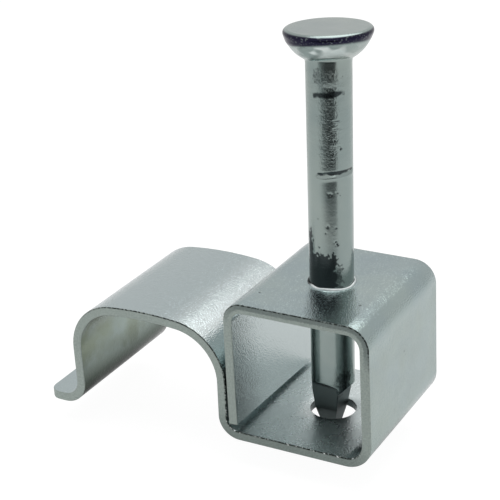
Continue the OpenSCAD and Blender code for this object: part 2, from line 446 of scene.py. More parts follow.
# Marks that the heading dies pressed into both sides of the shank: height, first and last angle
# from +X in degrees, half height, depth and darkness
GRIPS = [
    (23.66, -108, -22, 0.26, 0.006, 0.95),
    (22.03, -57, -37, 0.05, 0.03, 0.8),
    (21.5, -58, -33, 0.05, 0.03, 0.8),
    (20.3, -64, -34, 0.05, 0.02, 0.7),
    (18.5, -100, 6, 0.13, 0.085, 1.35),
]
# Pits in the shank: height, angle from +X in degrees, radius and depth
PITS = [
    (24.9, -28, 0.05, 0.03),
    (20.75, -52, 0.07, 0.03),
    (20.2, -36, 0.06, 0.03),
    (20.15, -36, 0.07, 0.03),
    (17.11, -66, 0.1, 0.05),
    (17.2, -48, 0.06, 0.03),
    (17.0, -40, 0.05, 0.02),
    (15.35, -99, 0.07, 0.03),
    (14.88, -72, 0.07, 0.03),
    (14.8, -52, 0.05, 0.02),
    (14.4, -78, 0.05, 0.02),
    (13.6, -50, 0.09, 0.04),
    (13.75, -53, 0.05, 0.03),
    (13.3, -96, 0.06, 0.03),
    (13.0, -60, 0.05, 0.02),
]
# Below this height no mark reaches
MARKS_END = 2
# Darker patches, the first three painted reflected shade round the shank's foot by the top plate:
# lowest and highest height, first and last angle from +X, and darkness
DARK_PATCHES = [
    (9.8, 12.85, -121, -52, 0.95),
    (9.8, 12.0, -52, -34, 0.6),
    (9.8, 14.4, -140, -117, 0.75),
    (2.0, 4.1, -56, -14, 0.62),
    (24.5, 25.6, -108, -84, 0.5),
]


def pinched_half(z, lower):
    """Half of the point's width between opposite dies, at a height; one die bit a little lower."""
    shoulder = SHOULDER_Z - lower
    if z > shoulder:
        return SHOULDER_HALF + (z - shoulder)
    if z > TAPER_Z:
        return TAPER_HALF + (SHOULDER_HALF - TAPER_HALF) * (z - TAPER_Z) / (shoulder - TAPER_Z)
    return TIP_HALF + (TAPER_HALF - TIP_HALF) * (z - TIP_Z) / (TAPER_Z - TIP_Z)


def rim_radius(depth):
    """Radius of the head's rounded and tapered rim at a depth below its top."""
    tangent = RIM_EDGE_R * (1 + sin(RIM_TAPER))
    centre = HEAD_R - RIM_EDGE_R
    if depth < tangent:
        return centre + sqrt(max(RIM_EDGE_R**2 - (depth - RIM_EDGE_R) ** 2, 0))
    return centre + RIM_EDGE_R * cos(RIM_TAPER) - (depth - tangent) * tan(RIM_TAPER)


def bowl_radius(angle, depth):
    """Radius of the head's round underside, a little to one side and shallower in front."""
    front = max(cos(angle - radians(DIE_SIDE)), 0) ** 2
    under = depth * (1 + 0.2 * front) + BOWL_RISE
    aside = BOWL_SHIFT[0] * cos(angle) + BOWL_SHIFT[1] * sin(angle)
    return sqrt(max(BOWL_R**2 - under**2, 0)) + aside


def under_die(angle):
    """How much of the two heading dies' grip a side of the shank felt, from 0 to 1."""
    aside = (degrees(angle) - DIE_SIDE + 90) % 180 - 90
    return exp(-((aside / 35) ** 2))


def head_outline(angle, depth):
    """Radius of the head at a depth below its top, blended into the shank."""
    outer = min(rim_radius(depth), bowl_radius(angle, depth))
    blended = (outer + NAIL_R + sqrt((outer - NAIL_R) ** 2 + NECK_BLEND**2)) / 2
    return min(blended, rim_radius(depth))


def make_nail(material):
    """The wire, spun round its axis, then headed, gripped and pinched.

    Its attributes are the dirt with painted shade, the head's rim, the pinched sides and the whitish
    patches, from 0 to 1.
    """
    bm = bmesh.new()
    verts = [bm.verts.new((0, 0, HEAD_Z))]
    for (start_r, start_z, rows), (end_r, end_z, _) in zip(NAIL_ROWS, NAIL_ROWS[1:]):
        first, last = Vector((start_r, 0, start_z)), Vector((end_r, 0, end_z))
        for row in range(1, rows + 2):
            verts.append(bm.verts.new(first.lerp(last, row / (rows + 1))))
            bm.edges.new(verts[-2:])
    bmesh.ops.rotate(bm, matrix=Matrix.Rotation(POINT_TURN, 3, "Z"), verts=bm.verts)
    bmesh.ops.spin(
        bm,
        geom=bm.verts[:] + bm.edges[:],
        axis=(0, 0, 1),
        cent=(0, 0, 0),
        steps=NAIL_SIDES,
        angle=2 * pi,
        use_merge=True,
    )
    bmesh.ops.remove_doubles(bm, verts=bm.verts, dist=1e-5)
    bmesh.ops.recalc_face_normals(bm, faces=bm.faces)
    dirt_and_shade = bm.verts.layers.float.new("dirt_and_shade")
    rim = bm.verts.layers.float.new("rim")
    pinch = bm.verts.layers.float.new("pinch")
    frost = bm.verts.layers.float.new("frost")
    for v in bm.verts:
        x, y, z = v.co
        if HEAD_Z - z < NECK_DEPTH:
            form_head(v, rim, frost)
            continue
        if hypot(x, y) > NAIL_R - 0.01 and z > MARKS_END:
            press_marks(v, atan2(y, x), z, dirt_and_shade)
        if z < POINT_START:
            pinch_point(v, pinch)
    for face in bm.faces:
        face.smooth = True
    sharpen(bm, 40)
    return finish_piece(bm, "nail_wire", [material])


def form_head(v, rim, frost):
    """Swells the top of the wire into the head, leaning, with a dented underside."""
    x, y, z = v.co
    angle = atan2(y, x)
    depth = HEAD_Z - z
    radius = head_outline(angle, depth)
    if depth < 1e-6:
        radius *= min(hypot(x, y) / HEAD_R, 1)
    z -= tan(HEAD_TILT) * radius * cos(angle - HEAD_TILT_SIDE) * smooth_step(1.6, 0.0, depth)
    dents = noise.noise(Vector((cos(angle) * 3, sin(angle) * 3, z * 1.4)))
    radius += 0.03 * dents * smooth_step(0.7, 1.1, depth) * smooth_step(2.1, 1.7, depth)
    radius -= GRIP_DEPTH * under_die(angle) * smooth_step(1.72, 1.9, depth)
    v.co = (radius * cos(angle), radius * sin(angle), z)
    # Where the bowl is the wider of the two, the surface is the rim's, which is coloured dark
    past_rim = bowl_radius(angle, depth) - rim_radius(depth)
    v[rim] = smooth_step(0.04, 0.12, depth) * smooth_step(-0.06, -0.02, past_rim)
    aside = (degrees(angle) + 75) / 40
    v[frost] = exp(-aside * aside) * smooth_step(-0.04, -0.1, past_rim)
    v[frost] *= smooth_step(1.75, 1.55, depth)


def press_marks(v, angle, z, dirt_and_shade):
    """Presses the dies' grips and the pits into the shank, and darkens them and the dark patches, some
    of which are painted reflected shade.
    """
    turned = degrees(angle)
    sunk, dark = 0.0, 0.0
    rough = noise.noise(Vector((cos(angle) * 4, sin(angle) * 4, z * 3)))
    for die in (0, 180):
        across = (turned - die + 180) % 360 - 180
        for height, first, last, half, depth, darkness in GRIPS:
            if abs(z - height) > 5 * half:
                continue
            inside = smooth_step(first - 6, first + 6, across)
            inside *= smooth_step(last + 6, last - 6, across)
            # The dies slanted a little
            off = (z - height + 0.0035 * max(DIE_SIDE - across, 0) + 0.04 * rough) / half
            cut = exp(-off * off) * inside
            lip = exp(-((off + 1.9) ** 2)) * inside
            sunk += depth * (cut - 0.5 * lip)
            stained = exp(-((off - 0.6) ** 2)) * inside
            dark = max(dark, darkness * stained * (0.9 + 0.6 * rough))
    for height, place, radius, depth in PITS:
        if abs(z - height) > 3 * radius:
            continue
        off = hypot(z - height, NAIL_R * radians(turned - place)) / radius
        off *= 1 + 0.8 * noise.noise(Vector((turned * 0.2, z * 7, 0.3)))
        cut = exp(-off * off)
        sunk += depth * cut
        dark = max(dark, cut)
    ragged = noise.noise(Vector((cos(angle) * 9, sin(angle) * 9, z * 5)))
    for low, high, first, last, darkness in DARK_PATCHES:
        edge = 14 * ragged
        inside = smooth_step(first - 4, first + 4, turned + edge)
        inside *= smooth_step(last + 4, last - 4, turned + edge)
        inside *= smooth_step(low - 0.1, low, z)
        inside *= smooth_step(high + 0.1, high - 0.1, z + 0.5 * ragged)
        dark = max(dark, darkness * inside)
    v[dirt_and_shade] = min(max(dark, 0.0), 1.0)
    sunk += GRIP_DEPTH * under_die(angle) * smooth_step(24.2, 24.6, z)
    wave = 0.003 * noise.noise(Vector((cos(angle) * 1.6, sin(angle) * 1.6, z * 0.5)))
    scale = (NAIL_R - sunk + wave) / NAIL_R
    v.co.x *= scale
    v.co.y *= scale


def pinch_point(v, pinch):
    """Presses the shank's end between two V-shaped dies, one of them a little lower."""
    away = Vector((v.co.x - POINT_SHIFT[0], v.co.y - POINT_SHIFT[1]))
    turned = Matrix.Rotation(-POINT_TURN, 2) @ away
    half_x = pinched_half(v.co.z, DIE_STEP if turned.x > 0 else 0)
    half_y = pinched_half(v.co.z, DIE_STEP if turned.y > 0 else 0)
    over = max(abs(turned.x) / half_x, abs(turned.y) / half_y)
    if over > 1:
        away /= over
        v[pinch] = smooth_step(1.0, 1.02, over)
        v.co.x, v.co.y = POINT_SHIFT[0] + away.x, POINT_SHIFT[1] + away.y


# Materials


def add_node(tree, kind, inputs=None, **settings):
    """Adds a node; inputs gives each socket its value, or the output that feeds it.

    A colour Mix has its factor in socket 0, its colours in 6 and 7, and its result in output 2.
    """
    node = tree.nodes.new(kind)
    for name, value in settings.items():
        setattr(node, name, value)
    for socket, value in (inputs or {}).items():
        if isinstance(value, bpy.types.NodeSocket):
            tree.links.new(value, node.inputs[socket])
        else:
            node.inputs[socket].default_value = value
    return node


def new_material(name):
    """A material with an empty node tree."""
    material = bpy.data.materials.new(name)
    material.use_nodes = True
    material.node_tree.nodes.clear()
    return material, material.node_tree


def per_mm(size):
    """Texture scale on Object coordinates for a feature of that size in millimetres."""
    return 1 / (size * MM)


# Zones of the sheet's finish and of its painted light and shade, in mm along the flat strip from the
# foot's nose: where each one starts to show, where it is full, and how strong it is there
SHEET_ZONES = {
    "foot_bend_shade": (6.2, 3.2, 1),
    "near_shoulder": (16, 20, 1),
    "arch": (27, 23, 1),
    "base_bend": (33, 36, 1),
    "base": (37.5, 36, 1),
    "wall": (36, 38, 0.35),
    "low_wall": (46, 43, 1),
    "past_arch": (19, 25, 1),
    "dull": (40, 38.5, 0.16),
}


def galvanised_strip():
    """Electro-galvanised spring steel strip, cold rolled and blue passivated.

    It looks a pale blue grey and satin, greener where the passivation is thick, with a fine
    orange peel that breaks its highlights into specks. Its paler burr side, the highlight on the
    arch's near shoulder, and the darker base plate and foot bends are painted light and shade.
    """
    material, tree = new_material("galvanised_strip")
    place = add_node(tree, "ShaderNodeTexCoord").outputs["Object"]
    flat = add_node(tree, "ShaderNodeAttribute", attribute_name="flat_place").outputs["Vector"]
    flat = add_node(tree, "ShaderNodeSeparateXYZ", {0: flat}).outputs
    zones = {}
    for zone, (start, full, most) in SHEET_ZONES.items():
        fade = {"Value": flat["X"], "From Min": start * MM, "From Max": full * MM, "To Max": most}
        zones[zone] = add_node(tree, "ShaderNodeMapRange", fade).outputs[0]

    # The roll-over side, outside the box and inside the arch, has clouds some 4 mm wide
    cloud = {"Vector": place, "Scale": per_mm(4), "Detail": 3}
    cloud = add_node(tree, "ShaderNodeTexNoise", cloud).outputs["Fac"]
    cloud = {"Value": cloud, "From Min": 0.35, "From Max": 0.65}
    cloud = add_node(tree, "ShaderNodeMapRange", cloud).outputs[0]
    colour = {0: cloud, 6: linear("#9baaac"), 7: linear("#a4b2b0")}
    colour = add_node(tree, "ShaderNodeMix", colour, data_type="RGBA").outputs[2]

    # Painted light: the burr side, inside the box and on top of the arch, is drawn paler than the
    # roll-over side, standing in for reflected room light, with a painted highlight along the arch's
    # near shoulder
    arch = {0: zones["near_shoulder"], 6: linear("#b0bcbd"), 7: linear("#dde4e4")}
    arch = add_node(tree, "ShaderNodeMix", arch, data_type="RGBA").outputs[2]
    # Painted light and shade: on top of the base plate it is drawn palest, and painted shade darkens
    # it towards the bend
    base = {0: zones["base_bend"], 6: linear("#cfd8d8"), 7: linear("#9ea8a8")}
    base = add_node(tree, "ShaderNodeMix", base, data_type="RGBA").outputs[2]
    box = {0: zones["base"], 6: linear("#b6c0c0"), 7: base}
    box = add_node(tree, "ShaderNodeMix", box, data_type="RGBA").outputs[2]
    painted_sheen = {0: zones["arch"], 6: box, 7: arch}
    painted_sheen = add_node(tree, "ShaderNodeMix", painted_sheen, data_type="RGBA").outputs[2]
    burr_side = {"Value": flat["Z"], "From Min": 0.1 * MM, "From Max": 0.3 * MM}
    burr_side = add_node(tree, "ShaderNodeMapRange", burr_side).outputs[0]
    colour = {0: burr_side, 6: colour, 7: painted_sheen}
    colour = add_node(tree, "ShaderNodeMix", colour, data_type="RGBA").outputs[2]

    # A greener coat, in stains some 2 mm wide, inside the arch, and faint low on the box's wall
    stain = {"Vector": place, "Scale": per_mm(2.2), "Detail": 3}
    stain = add_node(tree, "ShaderNodeTexNoise", stain).outputs["Fac"]
    stain = {"Value": stain, "From Min": 0.35, "From Max": 0.65, "To Min": 0.36, "To Max": 0.8}
    stain = add_node(tree, "ShaderNodeMapRange", stain).outputs[0]
    roll_side = {"Value": flat["Z"], "From Min": -0.2 * MM, "From Max": -0.3 * MM}
    roll_side = add_node(tree, "ShaderNodeMapRange", roll_side).outputs[0]
    tint = {0: zones["wall"], 1: zones["low_wall"]}
    tint = add_node(tree, "ShaderNodeMath", tint, operation="MULTIPLY").outputs[0]
    tint = {0: zones["arch"], 1: tint}
    tint = add_node(tree, "ShaderNodeMath", tint, operation="MAXIMUM").outputs[0]
    tint = {0: tint, 1: roll_side}
    tint = add_node(tree, "ShaderNodeMath", tint, operation="MULTIPLY").outputs[0]
    tint = add_node(tree, "ShaderNodeMath", {0: tint, 1: stain}, operation="MULTIPLY").outputs[0]
    # Painted shade: towards the foot's bend, on the roll-over side, the colour darkens to nearly black
    foot_shade = {0: zones["foot_bend_shade"], 1: roll_side}
    foot_shade = add_node(tree, "ShaderNodeMath", foot_shade, operation="MULTIPLY").outputs[0]
    tint = add_node(tree, "ShaderNodeMath", {0: tint, 1: foot_shade}, operation="MAXIMUM").outputs[0]
    tint_colour = {0: foot_shade, 6: linear("#848d77"), 7: linear("#2e362e")}
    tint_colour = add_node(tree, "ShaderNodeMix", tint_colour, data_type="RGBA").outputs[2]
    colour = {0: tint, 6: colour, 7: tint_colour}
    colour = add_node(tree, "ShaderNodeMix", colour, data_type="RGBA").outputs[2]

    # Pits: dark dots up to 0.15 mm wide, some 7 mm apart
    cell = {"Vector": place, "Scale": per_mm(2.2)}
    cell = add_node(tree, "ShaderNodeTexVoronoi", cell).outputs["Distance"]
    pit = {"Value": cell, "From Min": 0.05, "From Max": 0.02, "To Max": 0.8}
    pit = add_node(tree, "ShaderNodeMapRange", pit).outputs[0]
    # Painted shade on the holes' walls and the rim's darker left end are added to the pits
    dirt_and_shade_mask = add_node(tree, "ShaderNodeAttribute", attribute_name="dirt_and_shade").outputs["Fac"]
    dirt_and_shade_mask = add_node(tree, "ShaderNodeMath", {0: pit, 1: dirt_and_shade_mask}, operation="MAXIMUM").outputs[0]
    colour = {0: dirt_and_shade_mask, 6: colour, 7: linear("#2a3130")}
    colour = add_node(tree, "ShaderNodeMix", colour, data_type="RGBA").outputs[2]
    # A painted highlight lies on the rim that the nail pulled up round itself
    rim_highlight = add_node(tree, "ShaderNodeAttribute", attribute_name="rim_highlight").outputs["Fac"]
    colour = {0: rim_highlight, 6: colour, 7: linear("#e2e7e7")}
    colour = add_node(tree, "ShaderNodeMix", colour, data_type="RGBA").outputs[2]

    # Satin, duller on top of the base plate and down the arch's slope, and matter on the rim where its
    # highlight is painted
    finish = {"Vector": place, "Scale": per_mm(1.2), "Detail": 3}
    finish = add_node(tree, "ShaderNodeTexNoise", finish).outputs["Fac"]
    finish = {"Value": finish, "From Min": 0.3, "From Max": 0.7, "To Min": 0.08, "To Max": 0.14}
    finish = add_node(tree, "ShaderNodeMapRange", finish).outputs[0]
    dull = {0: zones["dull"], 1: zones["past_arch"]}
    dull = add_node(tree, "ShaderNodeMath", dull, operation="MULTIPLY").outputs[0]
    finish = {0: dull, 1: burr_side, 2: finish}
    finish = add_node(tree, "ShaderNodeMath", finish, operation="MULTIPLY_ADD").outputs[0]
    finish = {0: rim_highlight, 1: 0.35, 2: finish}
    finish = add_node(tree, "ShaderNodeMath", finish, operation="MULTIPLY_ADD").outputs[0]

    # Orange peel 0.9 mm wide, and the zinc's grains: 0.02 mm wide when real, drawn 0.1 mm to show
    peel = {"Vector": place, "Scale": per_mm(0.9), "Detail": 1}
    peel = add_node(tree, "ShaderNodeTexNoise", peel).outputs["Fac"]
    normal = add_node(tree, "ShaderNodeBump", {"Height": peel, "Distance": 0.003 * MM}).outputs[0]
    grain = {"Vector": place, "Scale": per_mm(0.1), "Detail": 1}
    grain = add_node(tree, "ShaderNodeTexNoise", grain).outputs["Fac"]
    speckle = {"Value": grain, "From Min": 0.35, "From Max": 0.65, "To Min": 0.97, "To Max": 1.03}
    speckle = add_node(tree, "ShaderNodeMapRange", speckle).outputs[0]
    colour = {0: colour, "Scale": speckle}
    colour = add_node(tree, "ShaderNodeVectorMath", colour, operation="SCALE").outputs[0]
    normal = {"Height": grain, "Distance": 0.027 * MM, "Normal": normal}
    normal = add_node(tree, "ShaderNodeBump", normal).outputs[0]

    metal = {"Base Color": colour, "Metallic": 1, "Roughness": finish, "Normal": normal}
    metal = add_node(tree, "ShaderNodeBsdfPrincipled", metal).outputs[0]
    add_node(tree, "ShaderNodeOutputMaterial", {0: metal})
    return material


# Zones of the sheared edge, given in the same way
EDGE_ZONES = {
    "past_shoulder": (8, 12, 1),
    "base": (24, 26, 1),
    "base_end": (37, 35.5, 1),
    "top": (42.5, 44, 1),
    "top_end": (55.5, 54, 1),
}


def sheared_edge():
    """The same sheet where the shear cut it, then zinc plated over.

    It is burnished grey at first, then torn, duller and darker; on the top plate the roll-over half is
    drawn darker as a painted reflection of dark surroundings. Ragged dark lines of painted shade run
    along the burr and the roll-over, and the base plate's burr has painted glints.
    """
    material, tree = new_material("sheared_edge")
    place = add_node(tree, "ShaderNodeTexCoord").outputs["Object"]
    flat = add_node(tree, "ShaderNodeAttribute", attribute_name="flat_place").outputs["Vector"]
    flat = add_node(tree, "ShaderNodeSeparateXYZ", {0: flat}).outputs
    zones = {}
    for zone, (start, full, most) in EDGE_ZONES.items():
        fade = {"Value": flat["X"], "From Min": start * MM, "From Max": full * MM, "To Max": most}
        zones[zone] = add_node(tree, "ShaderNodeMapRange", fade).outputs[0]

    # How far through the sheet, made ragged by the torn metal's grain, 0.12 mm wide
    grain = {"Vector": place, "Scale": per_mm(0.12), "Detail": 3, "Roughness": 0.6}
    grain = add_node(tree, "ShaderNodeTexNoise", grain).outputs["Fac"]
    depth = {0: grain, 1: 0.14 * MM, 2: flat["Z"]}
    depth = add_node(tree, "ShaderNodeMath", depth, operation="MULTIPLY_ADD").outputs[0]
    depth = add_node(tree, "ShaderNodeMath", {0: depth, 1: -0.07 * MM}, operation="ADD").outputs[0]

    # The top plate and its bends were sheared half through, then torn; there the roll-over half is
    # drawn darker, a painted reflection of the dark surroundings above
    top = {0: zones["top"], 1: zones["top_end"]}
    top = add_node(tree, "ShaderNodeMath", top, operation="MULTIPLY").outputs[0]
    roll_half_shade = {"Value": depth, "From Min": 0.08 * MM, "From Max": 0.0}
    roll_half_shade = add_node(tree, "ShaderNodeMapRange", roll_half_shade).outputs[0]
    roll_half_shade = {0: roll_half_shade, 1: top}
    roll_half_shade = add_node(tree, "ShaderNodeMath", roll_half_shade, operation="MULTIPLY").outputs[0]
    colour = {0: roll_half_shade, 6: linear("#98a29d"), 7: linear("#78827f")}
    colour = add_node(tree, "ShaderNodeMix", colour, data_type="RGBA").outputs[2]
    # The base plate's edges are duller
    base = {0: zones["base"], 1: zones["base_end"]}
    base = add_node(tree, "ShaderNodeMath", base, operation="MULTIPLY").outputs[0]
    colour = {0: base, 6: colour, 7: linear("#828c88")}
    colour = add_node(tree, "ShaderNodeMix", colour, data_type="RGBA").outputs[2]

    # Painted shade: dark lines along the burr from the arch to the base, and along the roll-over on
    # top
    burr = {"Value": depth, "From Min": 0.22 * MM, "From Max": 0.25 * MM}
    burr = add_node(tree, "ShaderNodeMapRange", burr).outputs[0]
    burred = {0: zones["past_shoulder"], 1: zones["base_end"]}
    burred = add_node(tree, "ShaderNodeMath", burred, operation="MULTIPLY").outputs[0]
    burr = add_node(tree, "ShaderNodeMath", {0: burr, 1: burred}, operation="MULTIPLY").outputs[0]
    roll = {"Value": depth, "From Min": -0.23 * MM, "From Max": -0.26 * MM}
    roll = add_node(tree, "ShaderNodeMapRange", roll).outputs[0]
    roll = add_node(tree, "ShaderNodeMath", {0: roll, 1: top}, operation="MULTIPLY").outputs[0]
    line = add_node(tree, "ShaderNodeMath", {0: burr, 1: roll}, operation="MAXIMUM").outputs[0]
    # Flecks 0.16 mm wide break the lines, and the brightest are painted glints on the base plate's
    # burr
    fleck = {"Vector": place, "Scale": per_mm(0.16), "Detail": 1}
    fleck = add_node(tree, "ShaderNodeTexNoise", fleck).outputs["Fac"]
    broken = {"Value": fleck, "From Min": 0.6, "From Max": 0.48, "To Min": 0.2}
    broken = add_node(tree, "ShaderNodeMapRange", broken).outputs[0]
    line = add_node(tree, "ShaderNodeMath", {0: line, 1: broken}, operation="MULTIPLY").outputs[0]
    colour = {0: line, 6: colour, 7: linear("#2a2f2d")}
    colour = add_node(tree, "ShaderNodeMix", colour, data_type="RGBA").outputs[2]
    burr_glint = {"Value": fleck, "From Min": 0.6, "From Max": 0.64}
    burr_glint = add_node(tree, "ShaderNodeMapRange", burr_glint).outputs[0]
    burr_glint = add_node(tree, "ShaderNodeMath", {0: burr_glint, 1: burr}, operation="MULTIPLY").outputs[0]
    burr_glint = add_node(tree, "ShaderNodeMath", {0: burr_glint, 1: base}, operation="MULTIPLY").outputs[0]
    colour = {0: burr_glint, 6: colour, 7: linear("#f4f6f6")}
    colour = add_node(tree, "ShaderNodeMix", colour, data_type="RGBA").outputs[2]

    speckle = {"Value": grain, "From Min": 0.35, "From Max": 0.65, "To Min": 0.86, "To Max": 1.14}
    speckle = add_node(tree, "ShaderNodeMapRange", speckle).outputs[0]
    colour = {0: colour, "Scale": speckle}
    colour = add_node(tree, "ShaderNodeVectorMath", colour, operation="SCALE").outputs[0]
    normal = add_node(tree, "ShaderNodeBump", {"Height": grain, "Distance": 0.03 * MM}).outputs[0]
    metal = {"Base Color": colour, "Metallic": 1, "Roughness": 0.4, "Normal": normal}
    metal = add_node(tree, "ShaderNodeBsdfPrincipled", metal).outputs[0]
    add_node(tree, "ShaderNodeOutputMaterial", {0: metal})
    return material


def bright_zinc_wire():
    """Drawn carbon steel wire, headed and pinched, then barrel polished and bright zinc plated.

    It is shinier than the strip, rippled near the head where the dies gripped it, dark violet
    round the rim, nearly black where the point was pinched, and painted with dark reflected shade
    round the shank's foot.
    """
    material, tree = new_material("bright_zinc_wire")
    place = add_node(tree, "ShaderNodeTexCoord").outputs["Object"]
    dirt_and_shade = add_node(tree, "ShaderNodeAttribute", attribute_name="dirt_and_shade").outputs["Fac"]
    rim = add_node(tree, "ShaderNodeAttribute", attribute_name="rim").outputs["Fac"]
    pinch = add_node(tree, "ShaderNodeAttribute", attribute_name="pinch").outputs["Fac"]

    # The plating has clouds some 3 mm wide, and grains: 0.02 mm when real, drawn 0.14 mm to show
    cloud = {"Vector": place, "Scale": per_mm(3), "Detail": 3}
    cloud = add_node(tree, "ShaderNodeTexNoise", cloud).outputs["Fac"]
    cloud = {"Value": cloud, "From Min": 0.35, "From Max": 0.65}
    cloud = add_node(tree, "ShaderNodeMapRange", cloud).outputs[0]
    colour = {0: cloud, 6: linear("#8d9a98"), 7: linear("#98a39f")}
    colour = add_node(tree, "ShaderNodeMix", colour, data_type="RGBA").outputs[2]
    grain = {"Vector": place, "Scale": per_mm(0.14), "Detail": 2, "Roughness": 0.6}
    grain = add_node(tree, "ShaderNodeTexNoise", grain).outputs["Fac"]
    # The rim is dark violet, with lighter specks in it
    speck = {"Value": grain, "From Min": 0.7, "From Max": 0.58, "To Min": 0.5}
    speck = add_node(tree, "ShaderNodeMapRange", speck).outputs[0]
    rim_dark = add_node(tree, "ShaderNodeMath", {0: rim, 1: speck}, operation="MULTIPLY").outputs[0]
    colour = {0: rim_dark, 6: colour, 7: linear("#252336")}
    colour = add_node(tree, "ShaderNodeMix", colour, data_type="RGBA").outputs[2]
    pressed = add_node(tree, "ShaderNodeMath", {0: pinch, 1: 0.94}, operation="MULTIPLY").outputs[0]
    colour = {0: pressed, 6: colour, 7: linear("#525a5a")}
    colour = add_node(tree, "ShaderNodeMix", colour, data_type="RGBA").outputs[2]
    # Dirt in the dies' marks and pits, and painted reflected shade in the dark patches, is solid
    # inside and has a ragged border
    dirt_and_shade_mask = {0: grain, 1: 0.5, 2: dirt_and_shade}
    dirt_and_shade_mask = add_node(tree, "ShaderNodeMath", dirt_and_shade_mask, operation="MULTIPLY_ADD").outputs[0]
    dirt_and_shade_mask = {"Value": dirt_and_shade_mask, "From Min": 0.6, "From Max": 0.95}
    dirt_and_shade_mask = add_node(tree, "ShaderNodeMapRange", dirt_and_shade_mask).outputs[0]
    colour = {0: dirt_and_shade_mask, 6: colour, 7: linear("#3b4243")}
    colour = add_node(tree, "ShaderNodeMix", colour, data_type="RGBA").outputs[2]

    # Whitish patches, 1.1 mm wide, in front under the head
    frost = add_node(tree, "ShaderNodeAttribute", attribute_name="frost").outputs["Fac"]
    patch = {"Vector": place, "Scale": per_mm(1.1), "Detail": 1}
    patch = add_node(tree, "ShaderNodeTexNoise", patch).outputs["Fac"]
    patch = {"Value": patch, "From Min": 0.5, "From Max": 0.6, "To Min": 0.15}
    patch = add_node(tree, "ShaderNodeMapRange", patch).outputs[0]
    patch = add_node(tree, "ShaderNodeMath", {0: patch, 1: frost}, operation="MULTIPLY").outputs[0]
    colour = {0: patch, 6: colour, 7: linear("#f2f5f3")}
    colour = add_node(tree, "ShaderNodeMix", colour, data_type="RGBA").outputs[2]

    # Polished, but for the pinched sides and the whitish patches
    finish = {"Vector": place, "Scale": per_mm(0.8), "Detail": 3}
    finish = add_node(tree, "ShaderNodeTexNoise", finish).outputs["Fac"]
    finish = {"Value": finish, "From Min": 0.3, "From Max": 0.7, "To Min": 0.19, "To Max": 0.25}
    finish = add_node(tree, "ShaderNodeMapRange", finish).outputs[0]
    finish = {0: pinch, 1: 0.2, 2: finish}
    finish = add_node(tree, "ShaderNodeMath", finish, operation="MULTIPLY_ADD").outputs[0]
    finish = {0: frost, 1: 0.35, 2: finish}
    finish = add_node(tree, "ShaderNodeMath", finish, operation="MULTIPLY_ADD").outputs[0]

    # Ripples round the wire, 1.2 mm long and a quarter as high, and grains, where the dies held it
    ripple = {"Vector": place, "Scale": (1, 1, 4)}
    ripple = add_node(tree, "ShaderNodeMapping", ripple).outputs[0]
    ripple = {"Vector": ripple, "Scale": per_mm(1.2), "Detail": 1}
    ripple = add_node(tree, "ShaderNodeTexNoise", ripple).outputs["Fac"]
    height = add_node(tree, "ShaderNodeSeparateXYZ", {0: place}).outputs["Z"]
    held = {"Value": height, "From Min": 18 * MM, "From Max": 20 * MM, "To Min": 0.15}
    held = add_node(tree, "ShaderNodeMapRange", held).outputs[0]
    below = {"Value": height, "From Min": 25.6 * MM, "From Max": 25.2 * MM}
    below = add_node(tree, "ShaderNodeMapRange", below).outputs[0]
    held = add_node(tree, "ShaderNodeMath", {0: held, 1: below}, operation="MULTIPLY").outputs[0]
    normal = {"Strength": held, "Height": ripple, "Distance": 0.02 * MM}
    normal = add_node(tree, "ShaderNodeBump", normal).outputs[0]
    normal = {"Strength": held, "Height": grain, "Distance": 0.025 * MM, "Normal": normal}
    normal = add_node(tree, "ShaderNodeBump", normal).outputs[0]

    metal = {"Base Color": colour, "Metallic": 1, "Roughness": finish, "Normal": normal}
    metal = add_node(tree, "ShaderNodeBsdfPrincipled", metal).outputs[0]
    add_node(tree, "ShaderNodeOutputMaterial", {0: metal})
    return material


# Stage


def paper_white():
    """Matt white paper that glows to the camera.

    It shows as the picture's white, and keeps a trace of the object's shadow.
    """
    material, tree = new_material("paper_white")
    paper = add_node(tree, "ShaderNodeBsdfDiffuse", {"Color": linear("#f0f0f0")}).outputs[0]
    glow = {"Color": linear("#ffffff"), "Strength": 1.1}
    glow = add_node(tree, "ShaderNodeEmission", glow).outputs[0]
    # To the camera it is mostly glow, in the metal a quarter, and as a source of light none
    path = add_node(tree, "ShaderNodeLightPath").outputs
    seen = {0: path["Is Camera Ray"], 1: path["Is Transmission Ray"]}
    seen = add_node(tree, "ShaderNodeMath", seen, operation="MAXIMUM").outputs[0]
    seen = add_node(tree, "ShaderNodeMath", {0: seen, 1: 0.86}, operation="MULTIPLY").outputs[0]
    shiny = {0: path["Is Glossy Ray"], 1: 0.25}
    shiny = add_node(tree, "ShaderNodeMath", shiny, operation="MULTIPLY").outputs[0]
    share = add_node(tree, "ShaderNodeMath", {0: seen, 1: shiny}, operation="MAXIMUM").outputs[0]
    mix = add_node(tree, "ShaderNodeMixShader", {0: share, 1: paper, 2: glow}).outputs[0]
    add_node(tree, "ShaderNodeOutputMaterial", {0: mix})
    return material


FLOOR_SIDE = 4000
FLOOR_GAP = 0.02
# The dark card: the level way from the clip towards the camera, the way that is left in the
# picture, how far the card's middle is along them, and its size
CARD_AHEAD = Vector((0.4866, -0.8736, 0))
CARD_SIDE = Vector((-0.8736, -0.4866, 0))
CARD_AWAY, CARD_ASIDE = 42, 15
CARD_W, CARD_H = 74, 22


